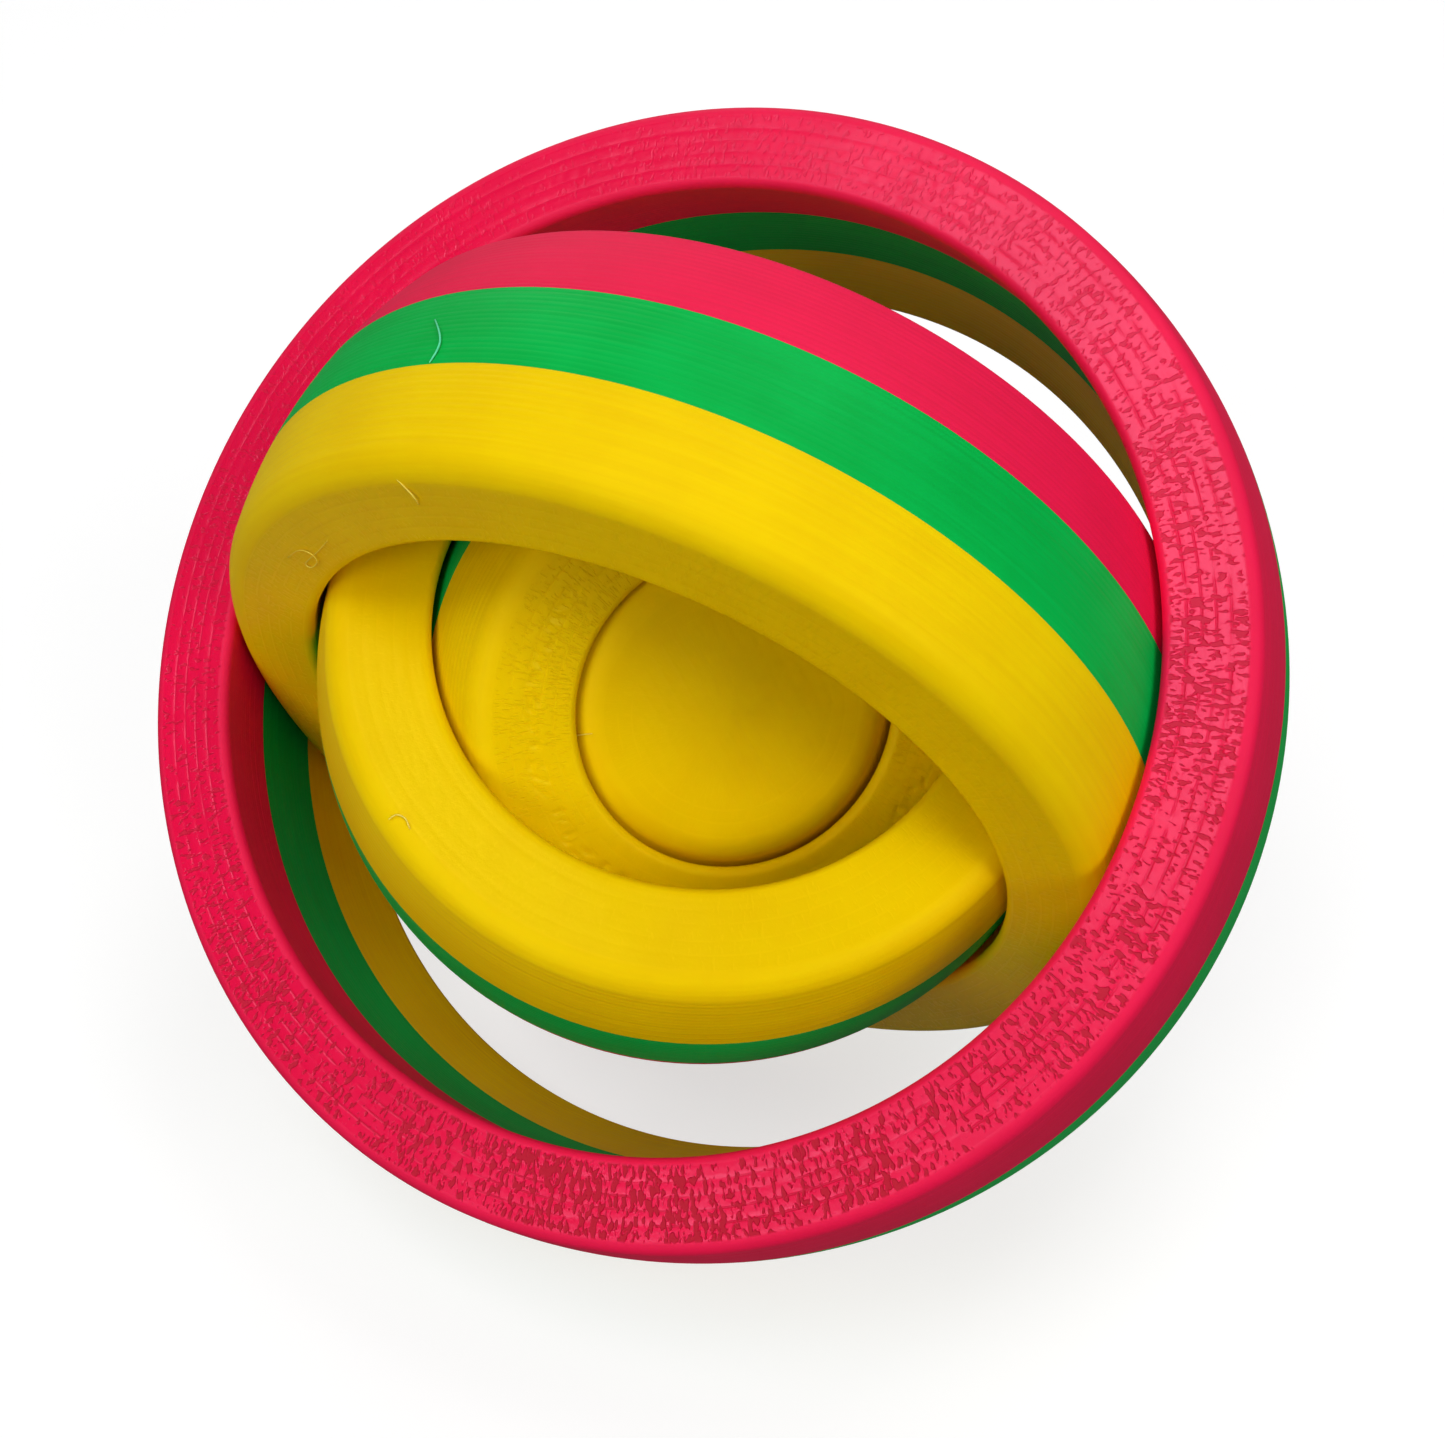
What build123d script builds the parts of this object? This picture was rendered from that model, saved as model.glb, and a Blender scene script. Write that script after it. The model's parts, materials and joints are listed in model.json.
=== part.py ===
"""Nested-ring gyroscope: four captive rings round a solid core, each of three bands of coloured plastic.

Millimetres and degrees. The origin is the centre that every ring turns about. +Z points up from the surface
that the toy stands on, and +X lies along the line where the planes of the two largest rings cross.
"""
import os

from build123d import *

OUTER_RADIUS = 20.0
# Spherical bores of the four rings, outermost first. Each piece inside is a running gap smaller.
BORE_RADII = (17.1, 13.7, 10.3, 7.2)
RUNNING_GAP = 0.2
RED_THICKNESS = 3.5
GREEN_THICKNESS = 3.2
YELLOW_THICKNESS = 3.5
RED_EDGE_ROUND = 0.5
YELLOW_EDGE_ROUND = 1.0
BORE_EDGE_ROUND = 0.3
CORE_EDGE_ROUND = 1.2

HEIGHT = RED_THICKNESS + GREEN_THICKNESS + YELLOW_THICKNESS
TOP = HEIGHT / 2
BOTTOM = -HEIGHT / 2
GREEN_BOTTOM = BOTTOM + YELLOW_THICKNESS
GREEN_TOP = GREEN_BOTTOM + GREEN_THICKNESS
ON_PLANE = 0.001  # how near a corner lies to a plane or to the axis to count as on it

# The bands from one face of a ring to the other: name, lower plane, upper plane, and the rounding of the
# ring's outer edge where the band has one.
BANDS = (
    ("yellow_band", BOTTOM, GREEN_BOTTOM, YELLOW_EDGE_ROUND),
    ("green_band", GREEN_BOTTOM, GREEN_TOP, 0.0),
    ("red_band", GREEN_TOP, TOP, RED_EDGE_ROUND),
)

# Each piece, outermost first: name, direction of its turning axis in the plane of the piece around it,
# and how far it is turned about that axis. The outer ring is turned from the horizontal.
PIECES = (
    ("outer_ring", 0.0, 42.8),
    ("second_ring", 0.0, -114.7),
    ("third_ring", 16.3, -82.2),
    ("fourth_ring", -44.4, 36.7),
    ("core_disc", 110.4, 2.7),
)


def turned(parent, azimuth, tilt):
    """The frame of a piece: its Z is the axis of the disc and its X is the line it turns about."""
    return Plane(parent.location * Rotation(0, 0, azimuth) * Rotation(tilt, 0, 0))


def upright_section(frame):
    """The plane of a section through the axis of a piece: X runs outwards and Y along the axis."""
    return Plane(frame.origin, x_dir=frame.x_dir, z_dir=-frame.y_dir)


def face_corners(section):
    """The corners of a section that lie on a face of the ring, from the bore outwards."""
    off_axis = section.vertices().filter_by(lambda v: v.X > ON_PLANE)
    return off_axis.filter_by(lambda v: abs(v.Y) > TOP - ON_PLANE).sort_by(Axis.X)


def make_band(frame, outer_radius, bore_radius, bottom, top, edge_round):
    """One band: a slice between two planes of a ball, bored by a smaller ball, with its free edges rounded."""
    with BuildPart() as band:
        with BuildSketch(upright_section(frame)) as section:
            with Locations((0, bottom)):
                Rectangle(outer_radius, top - bottom, align=(Align.MIN, Align.MIN))
            Circle(outer_radius, mode=Mode.INTERSECT)
            if bore_radius > 0:
                Circle(bore_radius, mode=Mode.SUBTRACT)
            if edge_round > 0:
                fillet(face_corners(section)[-1], edge_round)
            if edge_round > 0 and bore_radius > 0:
                fillet(face_corners(section)[0], BORE_EDGE_ROUND)
        revolve(axis=Axis(frame.origin, frame.z_dir))
    return band


def make_piece(name, frame, outer_radius, bore_radius):
    """The three fused bands of one ring or of the core, each written to its own file."""
    for band_name, bottom, top, edge_round in BANDS:
        if edge_round > 0 and bore_radius == 0:
            edge_round = CORE_EDGE_ROUND
        band = make_band(frame, outer_radius, bore_radius, bottom, top, edge_round)
        band.part.label = f"{name}_{band_name}"
        export_step(band.part, f"parts/{band.part.label}.step")


os.makedirs("parts", exist_ok=True)
outer_radii = [OUTER_RADIUS] + [bore - RUNNING_GAP for bore in BORE_RADII]
bore_radii = list(BORE_RADII) + [0.0]
frame = Plane.XY
for (name, azimuth, tilt), outer, bore in zip(PIECES, outer_radii, bore_radii):
    frame = turned(frame, azimuth, tilt)
    make_piece(name, frame, outer, bore)
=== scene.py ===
"""Looks of the nested-ring gyroscope: printed plastic with layer lines, a pale floor, light and camera.

Each ring is built in its own frame, where Z is the ring's axis, red face up, and X is the line that it turns
about. Lengths are worked out in millimetres and turned into metres as the meshes are made.
"""
import json
from math import acos, ceil, cos, hypot, pi, radians, sin, sqrt

import bmesh
import bpy
import numpy as np
from mathutils import Matrix, Vector


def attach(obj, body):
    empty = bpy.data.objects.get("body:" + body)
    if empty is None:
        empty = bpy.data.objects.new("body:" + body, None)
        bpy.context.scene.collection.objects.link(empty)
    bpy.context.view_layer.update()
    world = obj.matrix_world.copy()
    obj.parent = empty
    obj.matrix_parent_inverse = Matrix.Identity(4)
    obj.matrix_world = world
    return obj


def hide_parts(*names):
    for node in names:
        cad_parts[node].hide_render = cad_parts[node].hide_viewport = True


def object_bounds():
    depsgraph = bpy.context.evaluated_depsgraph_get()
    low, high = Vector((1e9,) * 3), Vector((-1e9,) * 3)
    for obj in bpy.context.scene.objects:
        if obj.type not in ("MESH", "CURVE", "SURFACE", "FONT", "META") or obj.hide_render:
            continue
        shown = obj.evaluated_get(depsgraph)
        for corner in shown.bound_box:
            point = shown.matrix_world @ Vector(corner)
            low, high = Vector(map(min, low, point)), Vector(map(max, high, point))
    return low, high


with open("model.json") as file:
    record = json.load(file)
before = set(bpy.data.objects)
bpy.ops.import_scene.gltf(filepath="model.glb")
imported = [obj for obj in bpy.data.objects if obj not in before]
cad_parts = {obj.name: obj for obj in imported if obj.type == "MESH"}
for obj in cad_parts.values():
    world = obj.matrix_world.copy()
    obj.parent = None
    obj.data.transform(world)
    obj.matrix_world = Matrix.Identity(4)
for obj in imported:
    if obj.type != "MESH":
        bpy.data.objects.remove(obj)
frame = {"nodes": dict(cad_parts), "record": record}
cad_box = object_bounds()

MM = 0.001

# The print, in millimetres: layers, the width of a laid line, and how deep their grooves and pits go
LAYER = 0.2
BEAD = 0.45
LAYER_GROOVE = 0.007
LAYER_SHIFT = 0.004
LAYERS = 60
RIM_BEADS = 2
LINE_WIDTH = 0.07
PIT_DEPTH = 0.035
PITS_AROUND = 118.0  # pits in a radian, however far from the axis
PITS_OUTWARDS = 3.2  # pits in a millimetre of radius
MARKED_SIDE = -62  # azimuth in the ring's frame, in degrees, where the pits and their painted shade are strongest
MARKS_MEAN = 0.58
MARKS_SWING = 0.42
EDGE_ROUND = {"red": 0.5, "yellow": 1.0}
BORE_EDGE_ROUND = 0.3
CORE_EDGE_ROUND = 1.2
CORNER_STEPS = 7
WALL_STEP = 0.5
FACE_STEP = 0.1
BY_THE_EDGE = (0.12, 0.26)
FACE_TO_WALL = 4
SHARP_ANGLE = 62
OFF_FACE = -1.0  # distance from the edge given to points of a wall

# The camera
CAMERA_AZIMUTH = 26.7
CAMERA_ELEVATION = 38.4
CAMERA_ROLL = -2.9
CAMERA_DISTANCE = 65.4
CAMERA_AIM = (0.67, -1.4)
LENS = 45.6
SENSOR = 36.0

# The studio: softboxes as name, azimuth, elevation and power
SOFTBOXES = (
    ("key_softbox", -12, 65, 1.30),
    ("right_softbox", 66, 30, 1.35),
    ("low_softbox", -6, 20, 1.16),
    ("back_softbox", 153, 65, 0.80),
    ("rear_softbox", 218, 30, 0.40),
)
SOFTBOX_DISTANCE = 0.6
SOFTBOX_SIZE = 0.31
FLOOR_HALF = 3.0
FLOOR_GREY = 0.42
FLOOR_GLOW = 0.66
BACKDROP_GLOW = 0.71
SURROUND = 0.13

RINGS = ("outer_ring", "second_ring", "third_ring", "fourth_ring", "core_disc")


# ---------------------------------------------------------------- the frame's measurements

def node_points(name):
    """The corners of a CAD node, in millimetres, as an array."""
    mesh = frame["nodes"][name].data
    points = np.empty(len(mesh.vertices) * 3)
    mesh.vertices.foreach_get("co", points)
    return points.reshape(-1, 3) / MM


def ring_axis(name):
    """The axis of a ring, from its yellow face to its red face.

    It is the way that most of the green band's area faces: the two flat seams.
    """
    mesh = frame["nodes"][f"{name}_green_band"].data
    spread = np.zeros((3, 3))
    for polygon in mesh.polygons:
        normal = np.array(polygon.normal)
        spread += polygon.area * np.outer(normal, normal)
    axis = np.linalg.eigh(spread)[1][:, -1]
    to_red = node_points(f"{name}_red_band").mean(axis=0) - node_points(f"{name}_yellow_band").mean(axis=0)
    return axis if axis @ to_red > 0 else -axis


def ring_matrix(name):
    """The ring's own frame: X along the line that it turns about, Z along its axis."""
    joints = frame["record"]["behaviour"]["joints"]
    turning = next((j["axis"] for j in joints if j["child"] == name), joints[0]["axis"])
    z = Vector(ring_axis(name))
    x = (Vector(turning) - z * z.dot(Vector(turning))).normalized()
    y = z.cross(x)
    return Matrix((x, y, z)).transposed()


def ring_sizes(name, matrix):
    """A ring's outer and bore radii, the bore zero if there is none, and the heights of its planes."""
    points = node_points(f"{name}_green_band")
    reach = np.linalg.norm(points, axis=1)
    along = np.array(matrix)[:, 2]
    solid = reach.min() > 0.99 * reach.max()
    return {
        "outer": reach.max(),
        "bore": 0.0 if solid else reach.min(),
        "seam": (points @ along).max(),
        "top": (node_points(f"{name}_red_band") @ along).max(),
    }


# ---------------------------------------------------------------- surface relief

def waves(seed, scale, count=28):
    """A smooth random field in the plane: count plane waves about scale millimetres long."""
    draw = np.random.default_rng(seed)
    angle = draw.uniform(0, 2 * pi, count)
    size = 2 * pi / (scale * draw.uniform(0.7, 1.6, count))
    phase = draw.uniform(0, 2 * pi, count)

    def field(x, y):
        total = np.zeros(np.shape(x))
        for a, k, p in zip(angle, size, phase):
            total += np.cos(k * (np.cos(a) * x + np.sin(a) * y) + p)
        return total / sqrt(count / 2)

    return field


def smooth_step(low, high, value):
    t = np.clip((value - low) / (high - low), 0, 1)
    return t * t * (3 - 2 * t)


def groove(distance, pitch, width):
    """Depth, from 0 to 1, of the narrow grooves between lines laid pitch apart."""
    off = np.abs((distance / pitch + 0.5) % 1 - 0.5) * pitch
    return 1 - smooth_step(0, width, off)


def wall_relief(z, azimuth, seed):
    """Depth of a wall below its ball: rounded layers with a groove between them."""
    draw = np.random.default_rng(seed)
    offset = draw.uniform(0, LAYER_SHIFT, LAYERS)
    lean = draw.uniform(0, 2 * pi, LAYERS)
    k = np.floor(z / LAYER + LAYERS / 2).astype(int) % LAYERS
    across = (z / LAYER) % 1
    groove_depth = LAYER_GROOVE * (2 * across - 1) ** 4
    wander = 0.5 + 0.5 * np.sin(azimuth * 2 + lean[k])
    return groove_depth + offset[k] * wander


def strokes(seed, lay, length, width):
    """A random field of short marks that run along the direction lay, in degrees."""
    field = waves(seed, 1.0)
    bend = waves(seed + 1, 1.3 * length)

    def marks(x, y):
        along = cos(radians(lay)) * x + sin(radians(lay)) * y
        across = cos(radians(lay)) * y - sin(radians(lay)) * x + 0.35 * width * bend(x, y)
        return field(along / length, across / width)

    return marks


def face_relief(x, y, inner, outer, seed, look):
    """Depth of a face: round lines by both edges, straight lines across the middle, and shrink marks."""
    rho = np.hypot(x, y)
    edge = np.minimum(outer - rho, rho - inner if inner > 0 else outer - rho)
    rim = RIM_BEADS * BEAD
    middle = smooth_step(rim - 0.05, rim + 0.05, edge)
    rings = groove(edge, BEAD, LINE_WIDTH)
    lay = look["lay"]
    across = cos(radians(lay)) * y - sin(radians(lay)) * x + 0.03 * waves(seed + 1, 2.0)(x, y)
    straight = groove(across, BEAD, LINE_WIDTH + 0.03)
    marks = strokes(seed + 2, lay, *look["mark_size"])(x, y)
    worn = 0.75 + 0.25 * waves(seed + 4, 9.0, 9)(x, y)
    share = look["rim_marks"] * (1 - middle) + middle
    pits = smooth_step(0.1, 1.3, marks) * np.clip(worn, 0.2, 1.3) * share
    swell = waves(seed + 5, 3.5)(x, y)
    lines = look["rings"] * rings * (1 - middle) + look["straight"] * straight * middle
    return smooth_step(0, 0.15, edge) * (lines + look["marks"] * pits + 0.003 * (1.5 + swell))


# ---------------------------------------------------------------- meshes

def corner_arc(radius, top, edge, side):
    """A rounded edge between a ball's wall and a face: side is 1 on the outside and -1 in the bore."""
    ball = radius - side * edge
    centre = (sqrt(ball ** 2 - (top - edge) ** 2), top - edge)
    reach = acos(centre[1] / hypot(*centre))
    start = reach if side > 0 else reach - pi
    angles = np.linspace(start, 0, CORNER_STEPS)
    return [(centre[0] + edge * sin(a), centre[1] + edge * cos(a)) for a in angles]


def wall_heights(low, high):
    """Heights along a wall: the grooves between layers and three points over each layer."""
    steps = np.array([0, 0.14, 0.5, 0.86])
    first = int(np.floor(low / LAYER))
    grid = [LAYER * (k + s) for k in range(first, first + ceil((high - low) / LAYER) + 2) for s in steps]
    inside = [z for z in grid if low + 0.01 < z < high - 0.01]
    return np.array([low] + inside + [high])


def face_rows(outer, inner):
    """Radii of the rows of a face, from the outer edge in: close together at the round lines, then even."""
    across_line = (-LINE_WIDTH, 0, LINE_WIDTH)
    lines = [BEAD * k + d for k in range(1, RIM_BEADS + 1) for d in across_line]
    between = [BEAD * (k + 0.5) for k in range(1, RIM_BEADS)]
    near = sorted(list(BY_THE_EDGE) + lines + between)
    far_side = [inner + d for d in reversed(near)] if inner > 0 else []
    last = inner + near[-1] if inner > 0 else 0.0
    steps = ceil((outer - near[-1] - last) / FACE_STEP)
    return [outer - d for d in near] + list(np.linspace(outer - near[-1], last, steps + 1)[1:-1]) + far_side


class Lathe:
    """Rows of points round the Z axis, joined one after the other into a closed skin."""

    def __init__(self):
        self.points = []
        self.polygons = []
        self.edges = []
        self.count = 0
        self.rows = []

    def row(self, rho, z, columns, radial=None, drop=None, edge=OFF_FACE):
        azimuth = np.linspace(0, 2 * pi, columns, endpoint=False)
        rho = np.full(columns, float(rho))
        z = np.full(columns, float(z))
        if radial is not None:
            rho = rho + radial(azimuth)
        x, y = rho * np.cos(azimuth), rho * np.sin(azimuth)
        if drop is not None:
            z = z - drop(x, y)
        self.points.append(np.stack([x, y, z], axis=1))
        self.edges += [edge] * columns
        self.rows.append((self.count, columns))
        self.count += columns

    def centre(self, z, edge=OFF_FACE):
        self.points.append(np.array([[0.0, 0.0, z]]))
        self.edges.append(edge)
        self.rows.append((self.count, 1))
        self.count += 1

    def join(self, first, second):
        """Polygons between two rows, whose counts are equal, four to one, or one point."""
        (a, m), (b, n) = first, second
        if m == n:
            i = np.arange(m)
            j = (i + 1) % m
            self.polygons += np.stack([a + i, a + j, b + j, b + i], axis=1).tolist()
        elif n == 1:
            self.polygons += [[a + i, a + (i + 1) % m, b] for i in range(m)]
        elif m == 1:
            self.polygons += [[a, b + (i + 1) % n, b + i] for i in range(n)]
        elif n > m:
            self.fan(a, m, b, n, False)
        else:
            self.fan(b, n, a, m, True)

    def fan(self, coarse, m, fine, n, flip):
        ratio = n // m
        for i in range(m):
            c, d = coarse + i, coarse + (i + 1) % m
            tips = [fine + (i * ratio + k) % n for k in range(ratio + 1)]
            half = ratio // 2
            made = [[c, tips[k + 1], tips[k]] for k in range(half)]
            made += [[c, d, tips[half]]]
            made += [[d, tips[k + 1], tips[k]] for k in range(half, ratio)]
            self.polygons += [polygon[::-1] for polygon in made] if flip else made

    def mesh(self, name, mirror=False, marks=0.0):
        for first, second in zip(self.rows, self.rows[1:] + self.rows[:1]):
            if first[1] > 1 or second[1] > 1:
                self.join(first, second)
        points = np.concatenate(self.points) * MM
        polygons = self.polygons
        if mirror:
            points = points * (1, 1, -1)
            polygons = [polygon[::-1] for polygon in polygons]
        mesh = bpy.data.meshes.new(name)
        mesh.from_pydata(points.tolist(), [], polygons)
        mesh.attributes.new("edge", "FLOAT", "POINT").data.foreach_set("value", self.edges)
        # More pits towards MARKED_SIDE. In the material this also means more painted pit shade on that side.
        turn = np.arctan2(points[:, 1], points[:, 0]) - radians(MARKED_SIDE)
        strength = marks * (MARKS_MEAN + MARKS_SWING * np.cos(turn))
        mesh.attributes.new("marks", "FLOAT", "POINT").data.foreach_set("value", strength)
        mesh.shade_smooth()
        mesh.set_sharp_from_angle(angle=radians(SHARP_ANGLE))
        mesh.validate()
        return mesh


def wall_rows(lathe, radius, heights, columns, side, seed, mirror):
    for z in heights:
        rho = sqrt(radius ** 2 - z ** 2)
        sign = -1 if mirror else 1

        def radial(azimuth, z=z):
            return -side * wall_relief(np.full_like(azimuth, sign * z), azimuth, seed)

        lathe.row(rho, z, columns, radial=radial)


def outer_band(sizes, name, seed, look, edge, mirror):
    """The red or the yellow band of a ring: two walls, a face and the rounded edges between them."""
    outer, bore, seam, top = (sizes[k] for k in ("outer", "bore", "seam", "top"))
    columns = int(2 * pi * outer / WALL_STEP)
    lathe = Lathe()
    outside = corner_arc(outer, top, edge, 1)
    wall_rows(lathe, outer, wall_heights(seam, outside[0][1])[:-1], columns, 1, seed, mirror)
    face_outer = outside[-1][0]
    for rho, z in outside:
        lathe.row(rho, z, columns, edge=face_outer - rho)
    inside = corner_arc(bore, top, BORE_EDGE_ROUND, -1) if bore else []
    face_inner = inside[-1][0] if bore else 0.0

    def drop(x, y):
        return face_relief(x, y, face_inner, face_outer, seed, look)

    for rho in face_rows(face_outer, face_inner):
        from_edge = min(face_outer - rho, rho - face_inner if bore else face_outer)
        lathe.row(rho, top, columns * FACE_TO_WALL, drop=drop, edge=from_edge)
    if bore:
        for rho, z in reversed(inside):
            lathe.row(rho, z, columns, edge=rho - face_inner)
        heights = wall_heights(seam, inside[0][1])[:-1]
        wall_rows(lathe, bore, heights[::-1], columns, -1, seed + 9, mirror)
    else:
        lathe.centre(top, face_outer)
        lathe.centre(seam)
    return lathe.mesh(name, mirror, look["gloss_marks"])


def middle_band(sizes, name, seed):
    """The green band of a ring: two walls between the planes where it is fused to its neighbours."""
    columns = int(2 * pi * sizes["outer"] / WALL_STEP)
    heights = wall_heights(-sizes["seam"], sizes["seam"])
    lathe = Lathe()
    wall_rows(lathe, sizes["outer"], heights, columns, 1, seed, False)
    if sizes["bore"]:
        wall_rows(lathe, sizes["bore"], heights[::-1], columns, -1, seed + 9, False)
    else:
        lathe.centre(sizes["seam"])
        lathe.centre(-sizes["seam"])
    return lathe.mesh(name)


# ---------------------------------------------------------------- materials

class Nodes:
    """A material's node tree, with a short way to add a node and link its inputs."""

    def __init__(self, name):
        self.material = bpy.data.materials.new(name)
        self.material.use_nodes = True
        self.tree = self.material.node_tree
        self.shader = self.tree.nodes["Principled BSDF"]

    def add(self, kind, settings=None, **inputs):
        node = self.tree.nodes.new(f"ShaderNode{kind}")
        for key, value in (settings or {}).items():
            setattr(node, key, value)
        for key, value in inputs.items():
            self.set(node, int(key[1:]) if key[1:].isdigit() else key, value)
        return node

    def set(self, node, key, value):
        socket = node.inputs[key]
        if isinstance(value, bpy.types.NodeSocket):
            self.tree.links.new(value, socket)
        else:
            socket.default_value = value

    def math(self, operation, a, b=0.0, c=0.0):
        return self.add("Math", {"operation": operation}, i0=a, i1=b, i2=c).outputs[0]

    def ramp(self, value, low, high, to_low=0.0, to_high=1.0):
        node = self.add("MapRange", {"interpolation_type": "SMOOTHSTEP"}, Value=value)
        for key, number in (("From Min", low), ("From Max", high), ("To Min", to_low), ("To Max", to_high)):
            node.inputs[key].default_value = number
        return node.outputs[0]

    def noise(self, vector, scale, detail=2.0, rough=0.5):
        inputs = {"Vector": vector, "Scale": scale, "Detail": detail, "Roughness": rough}
        return self.add("TexNoise", None, **inputs).outputs[0]

    def mix(self, factor, a, b):
        node = self.add("Mix", {"data_type": "RGBA"})
        self.set(node, 0, factor)
        self.set(node, 6, a)
        self.set(node, 7, b)
        return node.outputs[2]


def plastic(name, colour, deep, painted_pit_shade, face_rough, wall_rough, specular, tint):
    """Printed PLA: shiny faces with shrink marks, satin walls with fine layer lines, and uneven colour, with
    painted shade: a darker colour in the pits and grooves.
    """
    n = Nodes(name)
    mm = n.add("VectorMath", {"operation": "SCALE"}, Vector=n.add("TexCoord").outputs["Object"])
    mm.inputs["Scale"].default_value = 1 / MM
    mm = mm.outputs[0]
    edge = n.add("Attribute", {"attribute_name": "edge"}).outputs["Fac"]
    strength = n.add("Attribute", {"attribute_name": "marks"}).outputs["Fac"]
    face = n.ramp(edge, -0.12, 0.0)
    layered = n.add("Mapping", None, Vector=mm)
    layered.inputs["Scale"].default_value = (0.12, 0.12, 5.0)
    layer_tone = n.noise(layered.outputs[0], 1.0, 3.0, 0.6)
    cloud = n.noise(mm, 0.35, 3.0, 0.5)
    grain = n.noise(mm, 9.0, 3.0, 0.6)
    flat = n.add("VectorMath", {"operation": "MULTIPLY"}, i0=mm, i1=(1, 1, 0)).outputs[0]
    rho = n.add("VectorMath", {"operation": "LENGTH"}, i0=flat).outputs["Value"]
    around = n.add("VectorMath", {"operation": "NORMALIZE"}, i0=flat).outputs[0]
    around = n.add("VectorMath", {"operation": "MULTIPLY"}, i0=around, i1=(PITS_AROUND,) * 3).outputs[0]
    outwards = n.add("CombineXYZ", None, Z=n.math("MULTIPLY", rho, PITS_OUTWARDS)).outputs[0]
    polar = n.add("VectorMath", {"operation": "ADD"}, i0=around, i1=outwards).outputs[0]
    shrink = n.noise(polar, 1.0, 1.2, 0.5)
    shrink.node.inputs["Distortion"].default_value = 0.25
    patch = n.math("MULTIPLY_ADD", n.noise(mm, 0.22, 1.0), 0.24, -0.12)
    dense = n.math("MULTIPLY_ADD", strength, 0.10, -0.06)
    pits = n.ramp(n.math("ADD", n.math("ADD", shrink, patch), dense), 0.53, 0.63)
    bead = n.math("FRACT", n.math("MULTIPLY_ADD", edge, 1 / BEAD, 0.5))
    beads = n.math("ABSOLUTE", n.math("SUBTRACT", bead, 0.5))
    line = n.math("MULTIPLY", n.ramp(beads, 0.0, 0.13, 1.0, 0.0), n.ramp(edge, 0.3, 0.4))
    near = n.ramp(edge, 0.95, 1.05, 1.0, 0.0)
    broken = n.ramp(n.noise(mm, 0.9), 0.36, 0.6, 0.0, 0.6)
    lines = n.math("MULTIPLY", n.math("MULTIPLY", line, near), broken)
    # The pits and the grooves by the edges: a real bump, rougher, and painted with the darker pit colour as
    # painted shade in these hollows.
    hollows_with_painted_shade = n.math("MULTIPLY", n.math("MAXIMUM", pits, lines), n.math("MULTIPLY", face, strength))
    shade = n.math("ADD", n.math("MULTIPLY", layer_tone, 0.5), n.math("MULTIPLY", cloud, 0.5))
    body = n.mix(n.ramp(shade, 0.3, 0.7), deep, colour)
    # Painted shade: the darker pit colour is mixed into the pits and grooves.
    n.set(n.shader, "Base Color", n.mix(hollows_with_painted_shade, body, painted_pit_shade))
    glossy = n.math("MULTIPLY_ADD", grain, 0.12, wall_rough - 0.06)
    shiny = n.math("MULTIPLY_ADD", hollows_with_painted_shade, 0.4, face_rough)
    blend = n.add("Mix", {"data_type": "FLOAT"}, i0=face, i2=glossy, i3=shiny)
    n.set(n.shader, "Roughness", blend.outputs[0])
    relief = n.math("MULTIPLY", hollows_with_painted_shade, -PIT_DEPTH)
    walls = n.math("MULTIPLY", n.math("MULTIPLY", layer_tone, 0.010), n.math("SUBTRACT", 1.0, face))
    height = n.math("ADD", n.math("ADD", relief, walls), n.math("MULTIPLY", grain, 0.004))
    bump = n.add("Bump", None, Height=height)
    bump.inputs["Distance"].default_value = MM
    bump.inputs["Strength"].default_value = 1.0
    n.set(n.shader, "Normal", bump.outputs[0])
    n.shader.inputs["Subsurface Weight"].default_value = 0.12
    n.shader.inputs["Subsurface Radius"].default_value = (1.0, 0.6, 0.3)
    n.shader.inputs["Subsurface Scale"].default_value = 0.6 * MM
    n.shader.inputs["IOR"].default_value = 1.46
    n.shader.inputs["Specular IOR Level"].default_value = specular
    n.shader.inputs["Specular Tint"].default_value = tint
    return n.material


# Each plastic: colour, a deeper tone mixed in at random, a darker colour painted into pits and grooves as
# painted shade, then face and wall roughness, specular level and tint.
PLASTICS = {
    "red": plastic(
        "red_plastic",
        (0.87, 0.0012, 0.060, 1), (0.79, 0.001, 0.051, 1), (0.48, 0.0001, 0.013, 1),
        0.27, 0.66, 0.62, (1, 0.5, 0.75, 1),
    ),
    "green": plastic(
        "green_plastic",
        (0.0, 0.47, 0.070, 1), (0.0, 0.40, 0.052, 1), (0.0, 0.30, 0.04, 1),
        0.34, 0.5, 0.2, (0.3, 1, 0.6, 1),
    ),
    "yellow": plastic(
        "yellow_plastic",
        (0.90, 0.62, 0.0, 1), (0.85, 0.55, 0.0, 1), (0.84, 0.52, 0.0, 1),
        0.27, 0.5, 0.3, (1, 0.9, 0.1, 1),
    ),
}
# The relief of the faces, in millimetres. Each ring was laid down in its own direction.
# gloss_marks scales the pits in the material: their bump, their roughness and their painted pit shade.
RED_FACE = {
    "rings": 0.015, "straight": 0.004, "marks": 0.014, "mark_size": (0.42, 0.24), "rim_marks": 0.6,
    "gloss_marks": 1.0,
}
YELLOW_FACE = {
    "rings": 0.004, "straight": 0.003, "marks": 0.003, "mark_size": (0.6, 0.3), "rim_marks": 0.2,
    "gloss_marks": 0.12,
}
ROUGH_FACE = {
    "rings": 0.003, "straight": 0.002, "marks": 0.060, "mark_size": (0.75, 0.24), "rim_marks": 0.0,
    "gloss_marks": 0.6,
}
LINED_FACE = {
    "rings": 0.003, "straight": 0.012, "marks": 0.004, "mark_size": (0.9, 0.3), "rim_marks": 0.2,
    "gloss_marks": 0.12,
}
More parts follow.
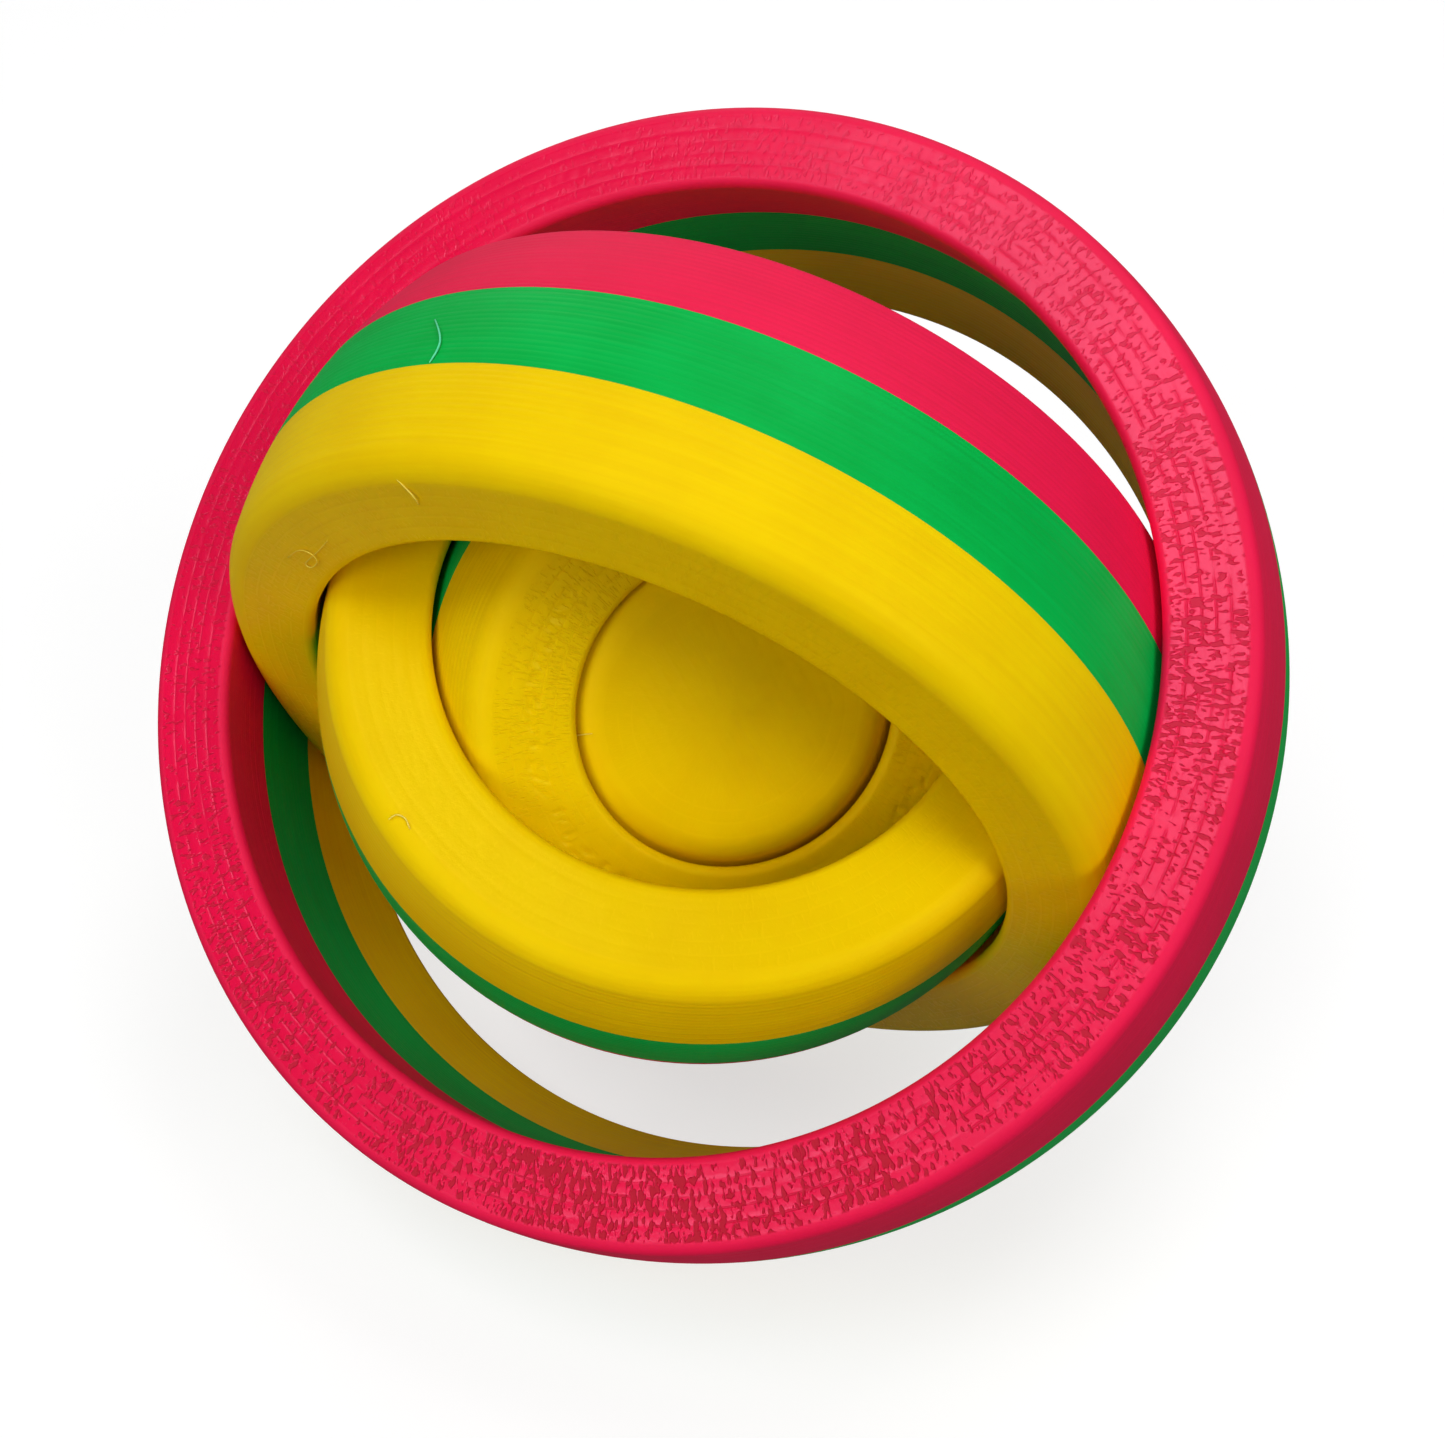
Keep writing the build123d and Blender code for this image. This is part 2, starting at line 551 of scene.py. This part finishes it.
FACES = {
    "outer_ring": (80, RED_FACE, YELLOW_FACE),
    "second_ring": (20, RED_FACE, YELLOW_FACE),
    "third_ring": (60, RED_FACE, YELLOW_FACE),
    "fourth_ring": (46, RED_FACE, ROUGH_FACE),
    "core_disc": (-33, RED_FACE, LINED_FACE),
}


# ---------------------------------------------------------------- pieces

def add_piece(name, mesh, matrix, colour, body):
    piece = bpy.data.objects.new(f"printed_{name}", mesh)
    bpy.context.scene.collection.objects.link(piece)
    piece.matrix_world = matrix.to_4x4()
    mesh.materials.append(PLASTICS[colour])
    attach(piece, body)
    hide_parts(name)
    return piece


def build_ring(index, name):
    matrix = ring_matrix(name)
    sizes = ring_sizes(name, matrix)
    seed = 100 * index
    lay, red_face, yellow_face = FACES[name]
    looks = {"red": {"lay": lay, **red_face}, "yellow": {"lay": lay, **yellow_face}}
    for colour, mirror in (("yellow", True), ("green", None), ("red", False)):
        node = f"{name}_{colour}_band"
        if mirror is None:
            mesh = middle_band(sizes, node, seed + 50)
        else:
            edge = EDGE_ROUND[colour] if sizes["bore"] else CORE_EDGE_ROUND
            mesh = outer_band(sizes, node, seed + 10 * mirror, looks[colour], edge, mirror)
        add_piece(node, mesh, matrix, colour, name)


for index, name in enumerate(RINGS):
    build_ring(index, name)


# ---------------------------------------------------------------- strands of plastic

# Paler copies of the green and yellow plastics for the thin strands. This is painted light, standing in for
# light shining through thin plastic.
LIT_THIN_PLASTICS = {
    "green": plastic(
        "lit_thin_green_plastic",
        (0.12, 0.80, 0.42, 1), (0.08, 0.72, 0.34, 1), (0.0, 0.30, 0.04, 1),
        0.34, 0.4, 0.5, (1, 1, 1, 1),
    ),
    "yellow": plastic(
        "lit_thin_yellow_plastic",
        (0.93, 0.74, 0.10, 1), (0.88, 0.66, 0.05, 1), (0.84, 0.52, 0.0, 1),
        0.27, 0.4, 0.5, (1, 1, 1, 1),
    ),
}

# Hairs that the nozzle left: name, ring, colour, thickness, and points as radius, azimuth and height in the
# ring's own frame.
STRANDS = (
    (
        "green_whisker", "second_ring", "green", 0.035,
        ((16.92, -110.6, 0.3), (16.96, -108.6, -0.3), (16.95, -107.4, -0.79), (16.92, -107.1, -1.19),
         (16.87, -107.3, -1.6)),
    ),
    (
        "looped_hair", "second_ring", "yellow", 0.022,
        ((14.37, -138.8, -5.12), (14.27, -134.9, -5.16), (13.95, -133.4, -5.2), (13.62, -134.2, -5.2),
         (13.60, -136.8, -5.18), (13.82, -137.0, -5.14), (13.86, -131.8, -5.16), (13.98, -128.1, -5.12)),
    ),
    (
        "pale_whisker", "second_ring", "yellow", 0.028,
        ((15.6, -107.4, -5.06), (15.2, -106.5, -5.16), (14.9, -106.2, -5.2), (14.6, -106.8, -5.12)),
    ),
    (
        "curled_hair", "third_ring", "yellow", 0.028,
        ((12.3, 121.6, -5.08), (12.02, 121.4, -5.2), (11.86, 120.1, -5.22), (11.93, 118.4, -5.12)),
    ),
    (
        "edge_hair", "core_disc", "yellow", 0.022,
        ((5.42, 78.4, -4.66), (5.05, 78.9, -4.90), (4.72, 79.3, -5.10)),
    ),
)
STRAND_SIDES = 6
STRAND_STEPS = 8


def smooth_path(points):
    """Points along the Catmull-Rom curve through the given points."""
    ends = np.concatenate([[2 * points[0] - points[1]], points, [2 * points[-1] - points[-2]]])
    path = []
    for p, a, b, q in zip(ends, ends[1:], ends[2:], ends[3:]):
        for t in np.arange(STRAND_STEPS) / STRAND_STEPS:
            path.append(
                a + 0.5 * t * (b - p) + 0.5 * t ** 2 * (2 * p - 5 * a + 4 * b - q)
                + 0.5 * t ** 3 * (3 * a - p - 3 * b + q)
            )
    return np.array(path + [points[-1]])


def strand_mesh(name, stations, thickness):
    points = np.array([(r * cos(radians(a)), r * sin(radians(a)), z) for r, a, z in stations])
    path = smooth_path(points)
    along = np.gradient(path, axis=0)
    along /= np.linalg.norm(along, axis=1)[:, None]
    side = np.cross(along, path)
    side /= np.linalg.norm(side, axis=1)[:, None]
    up = np.cross(side, along)
    taper = thickness * (0.35 + 0.65 * np.sin(np.linspace(0.15, pi - 0.15, len(path))) ** 0.5)
    turn = np.linspace(0, 2 * pi, STRAND_SIDES, endpoint=False)
    rings = [
        centre + radius * (np.outer(np.cos(turn), s) + np.outer(np.sin(turn), u))
        for centre, s, u, radius in zip(path, side, up, taper)
    ]
    last = STRAND_SIDES * len(path) - 1
    polygons = [tuple(range(STRAND_SIDES)), tuple(last - i for i in range(STRAND_SIDES))]
    for k in range(len(path) - 1):
        for i in range(STRAND_SIDES):
            j = (i + 1) % STRAND_SIDES
            a, b = STRAND_SIDES * k, STRAND_SIDES * (k + 1)
            polygons.append((a + j, a + i, b + i, b + j))
    mesh = bpy.data.meshes.new(name)
    mesh.from_pydata((np.concatenate(rings) * MM).tolist(), [], polygons)
    mesh.shade_smooth()
    mesh.validate()
    return mesh


for name, ring, colour, thickness, stations in STRANDS:
    strand = bpy.data.objects.new(name, strand_mesh(name, stations, thickness))
    bpy.context.scene.collection.objects.link(strand)
    strand.matrix_world = ring_matrix(ring).to_4x4()
    strand.data.materials.append(LIT_THIN_PLASTICS[colour])
    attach(strand, ring)


# ---------------------------------------------------------------- floor, light and camera

def direction(azimuth, elevation):
    """A unit vector towards a point at that azimuth, from -Y towards +X, and elevation."""
    a, e = radians(azimuth), radians(elevation)
    return Vector((sin(a) * cos(e), -cos(a) * cos(e), sin(e)))


def bright(name, grey, glow):
    """A pale surface that is partly lit by itself, so that the shadow on it stays light."""
    n = Nodes(name)
    n.shader.inputs["Base Color"].default_value = (grey, grey, grey, 1)
    n.shader.inputs["Roughness"].default_value = 0.9
    n.shader.inputs["Specular IOR Level"].default_value = 0.0
    n.shader.inputs["Emission Color"].default_value = (1, 1, 1, 1)
    n.shader.inputs["Emission Strength"].default_value = glow
    return n.material


def add_stage(name, mesh, grey, glow):
    """A floor or backdrop that throws no light back on the toy."""
    mesh.materials.append(bright(name, grey, glow))
    stage = bpy.data.objects.new(name, mesh)
    bpy.context.scene.collection.objects.link(stage)
    stage.visible_diffuse = False
    stage.visible_glossy = False
    return stage


def add_floor(level):
    mesh = bpy.data.meshes.new("floor")
    half = FLOOR_HALF
    corners = [(-half, -half, level), (half, -half, level), (half, half, level), (-half, half, level)]
    mesh.from_pydata(corners, [], [(0, 1, 2, 3)])
    add_stage("floor", mesh, FLOOR_GREY, FLOOR_GLOW)


def add_backdrop():
    shape = bmesh.new()
    bmesh.ops.create_icosphere(shape, subdivisions=4, radius=FLOOR_HALF)
    mesh = bpy.data.meshes.new("backdrop")
    shape.to_mesh(mesh)
    shape.free()
    add_stage("backdrop", mesh, 0.0, BACKDROP_GLOW).visible_shadow = False


def add_softbox(name, azimuth, elevation, power):
    light = bpy.data.lights.new(name, "AREA")
    light.shape = "SQUARE"
    light.size = SOFTBOX_SIZE
    light.energy = power
    lamp = bpy.data.objects.new(name, light)
    bpy.context.scene.collection.objects.link(lamp)
    towards = direction(azimuth, elevation)
    lamp.location = towards * SOFTBOX_DISTANCE
    lamp.rotation_euler = towards.to_track_quat("Z", "Y").to_euler()


def add_world(strength):
    world = bpy.data.worlds.new("studio")
    world.use_nodes = True
    background = world.node_tree.nodes["Background"]
    background.inputs["Color"].default_value = (1, 1, 1, 1)
    background.inputs["Strength"].default_value = strength
    bpy.context.scene.world = world


def add_camera():
    back = direction(CAMERA_AZIMUTH, CAMERA_ELEVATION)
    right = Vector((cos(radians(CAMERA_AZIMUTH)), sin(radians(CAMERA_AZIMUTH)), 0))
    up = back.cross(right)
    turn = Matrix.Rotation(radians(CAMERA_ROLL), 3, back)
    right, up = turn @ right, turn @ up
    aim = (right * CAMERA_AIM[0] + up * CAMERA_AIM[1]) * MM
    camera = bpy.data.cameras.new("camera")
    camera.sensor_width = SENSOR
    camera.lens = LENS
    camera.clip_start = 0.001
    holder = bpy.data.objects.new("camera", camera)
    bpy.context.scene.collection.objects.link(holder)
    holder.matrix_world = Matrix.Translation(aim + back * CAMERA_DISTANCE * MM) @ Matrix(
        (right, up, back)
    ).transposed().to_4x4()
    bpy.context.scene.camera = holder


add_floor(cad_box[0][2])
add_backdrop()
for softbox in SOFTBOXES:
    add_softbox(*softbox)
add_world(SURROUND)
add_camera()
bpy.context.scene.view_settings.view_transform = "Standard"
